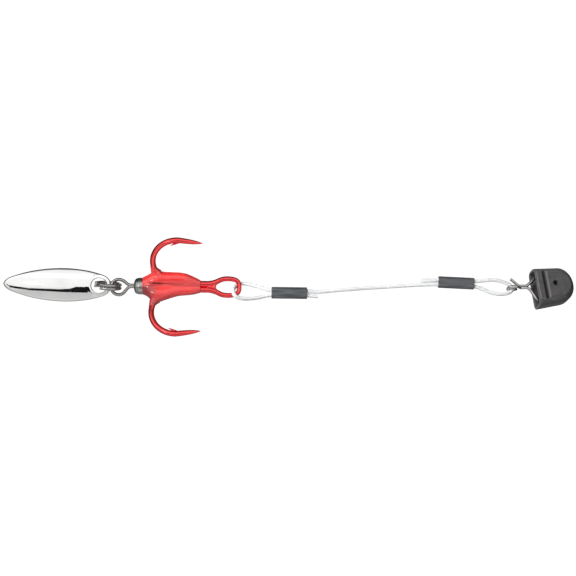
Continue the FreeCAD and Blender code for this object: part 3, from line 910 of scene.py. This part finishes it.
def swivel_eye(finish):
    """Wire eye whose two ends close into a stem, with the stem's head inside the barrel."""
    corner = SWIVEL_EYE_RADIUS / math.cos(math.radians(SWIVEL_EYE_STEP / 2))
    loop = []
    for turn in SWIVEL_EYE_TURNS:
        x = SWIVEL_EYE_DROP + corner * math.sin(math.radians(turn))
        loop.append(((x, 0, SWIVEL_EYE_Z + corner * math.cos(math.radians(turn))), 1.0))
    back = [((-x, y, z), share) for (x, y, z), share in SWIVEL_NECK[::-1]]
    eye = shaped_wire("swivel_eye_wire", SWIVEL_NECK + loop + back, SWIVEL_WIRE_RADIUS, CHAIN)
    finished(eye, finish, "swivel", ["swivel_eye"])
    finished(turned("swivel_stem_head", STEM_HEAD), finish, "swivel", place=CHAIN)


def split_ring(finish):
    """Close-wound ring of nearly two flat turns, with a jog from one to the other."""
    corner = RING_RADIUS / math.cos(math.radians(RING_STEP / 2))
    lean = Matrix.Rotation(RING_TILT, 3, "Y") @ Matrix.Rotation(RING_YAW, 3, "Z")
    route = []
    for turn in range(RING_START, RING_END + 1, RING_STEP):
        across = RING_HALF_GAP * (1 - 2 * smooth_step(turn, *RING_JOG))
        angle = math.radians(turn)
        spot = Vector((across, corner * math.sin(angle), corner * math.cos(angle)))
        route.append((Vector((0, 0, RING_Z)) + lean @ spot, 1.0))
    ring = shaped_wire("split_ring_wound", route, RING_WIRE_RADIUS, CHAIN)
    finished(ring, finish, "ring", ["split_ring"])


def blade_depth(x, z, offset):
    """Y of the blade's middle surface, offset towards its bulging side."""
    middle = (BLADE_TAIL_Z + BLADE_HEAD_Z) / 2
    sagitta = (BLADE_HOLE_Z - middle) ** 2 / (2 * BLADE_LENGTH_RADIUS)
    centre = BLADE_BACK - sagitta + BLADE_LENGTH_RADIUS
    cross = BLADE_CROSS_RADIUS + offset
    reach = BLADE_LENGTH_RADIUS - BLADE_CROSS_RADIUS + math.sqrt(cross**2 - x**2)
    return centre - math.sqrt(reach**2 - (z - middle) ** 2)


def border_roll(inside, z):
    """How far the blade's border falls back, from the distance inside its outline."""
    tip = 1 - smooth_step(z, *BLADE_TIP_SPAN)
    near = max(1 - inside / BLADE_BORDER, 0)
    return (BLADE_ROLL + (BLADE_TIP_ROLL - BLADE_ROLL) * tip) * near * near


def emboss(x, z):
    """A faint stamped ring round the hole."""
    away = math.hypot(x, z - BLADE_HOLE_Z) - EMBOSS_RADIUS
    return EMBOSS_HEIGHT * math.exp(-((away / EMBOSS_HALF_WIDTH) ** 2))


def spinner_blade(finish):
    """Willow-leaf blade: rings of points run from its hole to its edge on both faces."""
    corners = [Vector((0, BLADE_HEAD_Z))]
    corners += [Vector((half, BLADE_TAIL_Z + run)) for run, half in BLADE_SIDE[::-1]]
    corners += [Vector((0, BLADE_TAIL_Z))]
    corners += [Vector((-half, BLADE_TAIL_Z + run)) for run, half in BLADE_SIDE]
    outline = evenly(smooth_loop(corners, BLADE_STEPS), BLADE_COLUMNS)
    hole, outward = [], []
    for k in range(BLADE_COLUMNS):
        angle = math.tau * k / BLADE_COLUMNS
        spoke = Vector((math.sin(angle), math.cos(angle)))
        hole.append(Vector((0, BLADE_HOLE_Z)) + spoke * BLADE_HOLE_RADIUS)
        along = outline[(k + 1) % BLADE_COLUMNS] - outline[k - 1]
        outward.append(Vector((-along.y, along.x)).normalized())
    half = BLADE_THICKNESS / 2

    def ring(share, inset, offset):
        """Points at a share of the way from hole to edge, inset from both and off the middle surface."""
        points = []
        for k in range(BLADE_COLUMNS):
            spoke = (hole[k] - Vector((0, BLADE_HOLE_Z))).normalized()
            inner = hole[k] + spoke * inset
            outer = outline[k] - outward[k] * inset
            x, z = inner.lerp(outer, share)
            fall = border_roll((1 - share) * (outer - inner).length + inset, z)
            points.append(Vector((x, blade_depth(x, z, offset) - emboss(x, z) + fall, z)))
        return points

    rings = [ring(i / BLADE_SPANS, half, half) for i in range(BLADE_SPANS + 1)]
    rings += [ring(1, half * (1 - math.sin(turn)), half * math.cos(turn)) for turn in RIM_TURNS]
    rings += [ring(1 - i / BLADE_SPANS, half, -half) for i in range(BLADE_SPANS + 1)]
    rings += [ring(0, half * (1 - math.sin(turn)), -half * math.cos(turn)) for turn in RIM_TURNS]
    points = [point for one in rings for point in one]
    faces = grid_faces(len(rings), BLADE_COLUMNS, closed_rows=True)
    blade = mesh_piece("spinner_blade_plated", points, faces)
    finished(blade, finish, "blade", ["spinner_blade"], BLADE)


# ---------------------------------------------------------------- camera, lights and stage

def make_camera():
    """Long lens, level with the middle of the rig, rolled so that the rig lies across the frame."""
    data = bpy.data.cameras.new("camera")
    data.lens = CAMERA_LENS
    data.sensor_width = CAMERA_SENSOR
    data.clip_start = 0.01
    data.clip_end = 10
    camera = bpy.data.objects.new("camera", data)
    right = Vector((0, 0, 1))
    up = Vector((-1, 0, 0))
    turn = Matrix((right, up, right.cross(up))).transposed().to_4x4()
    camera.matrix_world = Matrix.Translation(CAMERA_PLACE) @ turn
    bpy.context.scene.collection.objects.link(camera)
    bpy.context.scene.camera = camera


def stage_card(name, corners):
    """A flat card of the studio from its corners, in metres."""
    mesh = bpy.data.meshes.new(name)
    mesh.from_pydata(corners, [], [tuple(range(len(corners)))])
    card = new_piece(name, mesh)
    return card


def paper_finish(name, tint, glow):
    """Seamless studio paper, faintly mottled, with its own even glow."""
    finish = material(name, Roughness=0.9, Emission_Strength=glow)
    mottle = grain(finish, 60)
    tinted(finish, mottle, [0.97 * tint] * 3, [tint] * 3)
    tinted(finish, mottle, (0.99, 0.99, 0.99), (1, 1, 1), "Emission Color")
    return finish


def black_finish():
    """Black flocked card."""
    finish = material("black_card", Roughness=1, Specular_IOR_Level=0)
    tinted(finish, grain(finish, 2), (0.01, 0.01, 0.01), (0.02, 0.02, 0.02))
    return finish


def area_light(name, place, target, size, power):
    """A soft box aimed at a point."""
    data = bpy.data.lights.new(name, "AREA")
    data.shape = "RECTANGLE"
    data.size, data.size_y = size
    data.energy = power
    light = new_piece(name, data)
    light.location = place
    light.rotation_mode = "QUATERNION"
    light.rotation_quaternion = (Vector(target) - Vector(place)).to_track_quat("-Z", "Y")
    return light


def level_ramp(nodes, stops):
    """A grey ramp over -1 to 1 from (place, level) stops."""
    spread = nodes.new("ShaderNodeMapRange")
    spread.inputs["From Min"].default_value = -1
    ramp = nodes.new("ShaderNodeValToRGB")
    elements = ramp.color_ramp.elements
    while len(elements) < len(stops):
        elements.new(1)
    for element, (place, level) in zip(elements, stops):
        element.position = (place + 1) / 2
        element.color = (level, level, level, 1)
    return spread, ramp


def make_world():
    """What polished pieces reflect: bright caps in front of the rig and behind it, and a dimmer ring."""
    world = bpy.data.worlds.new("world")
    world.use_nodes = True
    nodes, links = world.node_tree.nodes, world.node_tree.links
    heading = nodes.new("ShaderNodeTexCoord")
    parts = nodes.new("ShaderNodeSeparateXYZ")
    links.new(heading.outputs["Generated"], parts.inputs["Vector"])
    levels = []
    for axis, stops in (("Y", WORLD_RING), ("X", WORLD_CAP_ACROSS), ("X", WORLD_RING_ACROSS)):
        spread, ramp = level_ramp(nodes, stops)
        links.new(parts.outputs[axis], spread.inputs["Value"])
        links.new(spread.outputs["Result"], ramp.inputs["Fac"])
        levels.append(ramp.outputs["Color"])
    both = nodes.new("ShaderNodeMix")
    both.data_type = "RGBA"
    for level, socket in zip(levels, ("Factor", "A", "B")):
        links.new(level, both.inputs[socket])
    links.new(both.outputs["Result"], nodes["Background"].inputs["Color"])
    bpy.context.scene.world = world
    world.cycles_visibility.diffuse = False


def make_stage():
    """Pale floor, a white surround that only the camera sees, a flag for reflections and soft boxes."""
    middle = (cad_box[0] + cad_box[1]) / 2
    floor = stage_card("floor", [(x, y, FLOOR_Z) for x, y in FLOOR_OUTLINE])
    floor.data.materials.append(paper_finish("floor_paper", PAPER_TINT, FLOOR_GLOW))
    floor.visible_glossy = False
    surround = bmesh.new()
    bmesh.ops.create_icosphere(surround, subdivisions=4, radius=SURROUND_RADIUS)
    mesh = bpy.data.meshes.new("surround")
    surround.to_mesh(mesh)
    surround.free()
    mesh.materials.append(paper_finish("surround_paper", PAPER_TINT, SURROUND_GLOW))
    shell = new_piece("surround", mesh)
    shell.visible_diffuse = False
    shell.visible_glossy = False
    shell.visible_shadow = False
    flag = stage_card("flag", [(x, FLAG_Y, z) for x, z in FLAG_OUTLINE])
    flag.data.materials.append(black_finish())
    flag.visible_camera = False
    flag.visible_shadow = False
    flag.visible_diffuse = False
    make_world()
    for name, place, size, power, shown in SOFT_BOXES:
        light = area_light(name, Vector(place) + middle, middle, size, power)
        light.visible_glossy = shown
        light.visible_camera = False
    bpy.context.scene.view_settings.view_transform = "Standard"


# ---------------------------------------------------------------- build

make_camera()
leader(line_finish())
rubber_cap(rubber_finish())
recoat("clip_wire", stainless_finish())
recoat("hook_sleeve", sleeve_finish())
recoat("clip_sleeve", sleeve_finish())
lacquer = red_wire_finish()
nickel = black_nickel_finish()
double_hook(lacquer)
third_hook(lacquer)
hook_body(red_resin_finish())
swivel_barrel(nickel)
swivel_eye(nickel)
split_ring(nickel)
spinner_blade(chrome_finish())
recoat("swivel_anchor", nickel)
make_stage()
